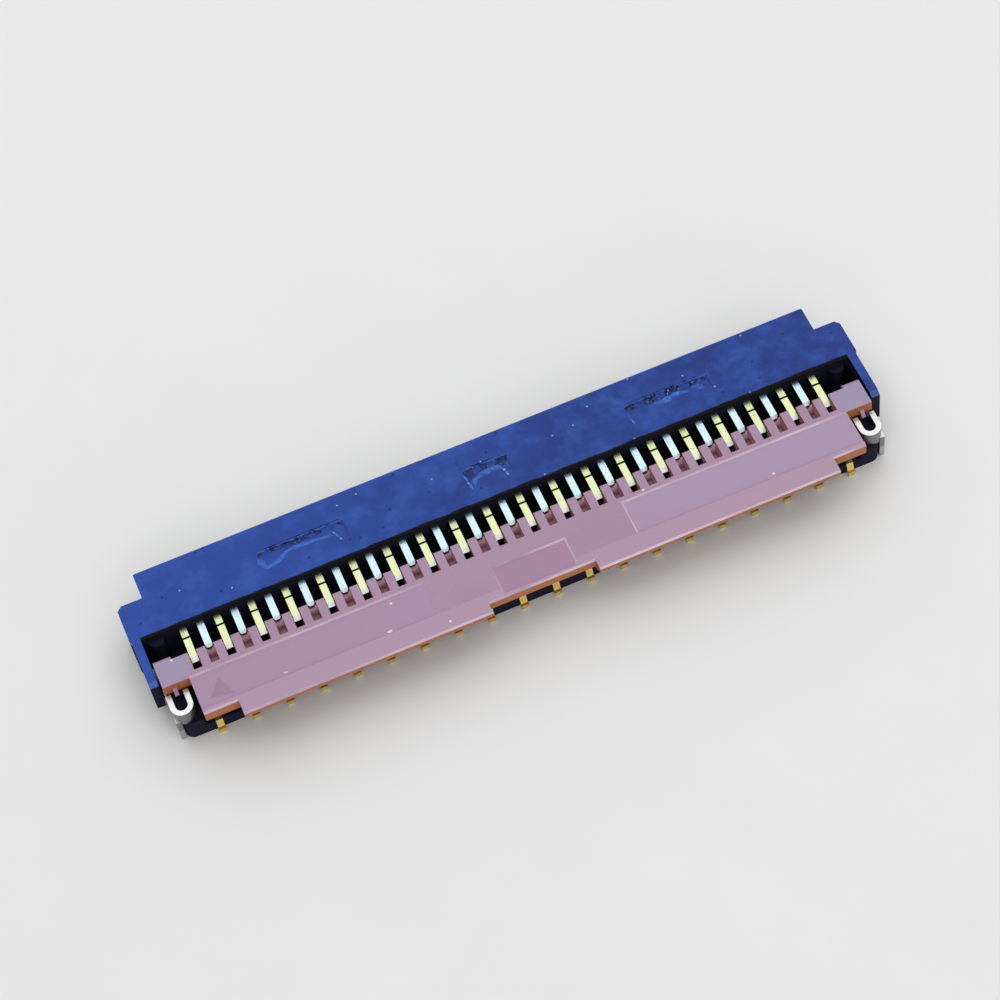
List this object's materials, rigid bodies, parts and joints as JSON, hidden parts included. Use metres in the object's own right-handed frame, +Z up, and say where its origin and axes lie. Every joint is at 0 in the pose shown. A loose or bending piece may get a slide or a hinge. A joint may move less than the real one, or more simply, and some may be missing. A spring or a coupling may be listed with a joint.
{
  "type": "flexible printed circuit connector",
  "caption": "Low board connector for a flexible printed circuit: slotted housing, row of sheet-metal contacts with staggered tails, hold-down fittings and a hinged flip-lock lever.",
  "frame": {"origin": "on the board, under the middle of the closed connector", "axes": "+X along the contact row, +Y towards the cable mouth, +Z up from the board"},
  "size_m": [0.0132, 0.0036, 0.001],
  "materials": {
    "housing_plastic": "moulded",
    "lever_plastic": "moulded",
    "gold_plate": "plated",
    "tin_plate": "plated",
    "fitting_metal": "plated"
  },
  "bodies": {
    "base": {"housing": "housing_plastic", "fitting_left": "fitting_metal", "fitting_right": "fitting_metal", "contact_01": "gold_plate", "contact_02": "tin_plate", "contact_03": "gold_plate", "contact_04": "tin_plate", "contact_05": "gold_plate", "contact_06": "tin_plate", "contact_07": "gold_plate", "contact_08": "tin_plate", "contact_09": "gold_plate", "contact_10": "tin_plate", "contact_11": "gold_plate", "contact_12": "tin_plate", "contact_13": "gold_plate", "contact_14": "tin_plate", "contact_15": "gold_plate", "contact_16": "tin_plate", "contact_17": "gold_plate", "contact_18": "tin_plate", "contact_19": "gold_plate", "contact_20": "tin_plate", "contact_21": "gold_plate", "contact_22": "tin_plate", "contact_23": "gold_plate", "contact_24": "tin_plate", "contact_25": "gold_plate", "contact_26": "tin_plate", "contact_27": "gold_plate", "contact_28": "tin_plate", "contact_29": "gold_plate", "contact_30": "tin_plate", "contact_31": "gold_plate", "contact_32": "tin_plate", "contact_33": "gold_plate", "contact_34": "tin_plate", "contact_35": "gold_plate", "contact_36": "tin_plate", "contact_37": "gold_plate", "contact_38": "tin_plate", "contact_39": "gold_plate"},
    "lever": {"actuator": "lever_plastic"}
  },
  "joints": [
    {"name": "lever_hinge", "type": "hinge", "parent": "base", "child": "lever", "pos_m": [0, -0.00025, 0.00065], "axis": [-1, 0, 0], "range_deg": [0, 90]}
  ]
}
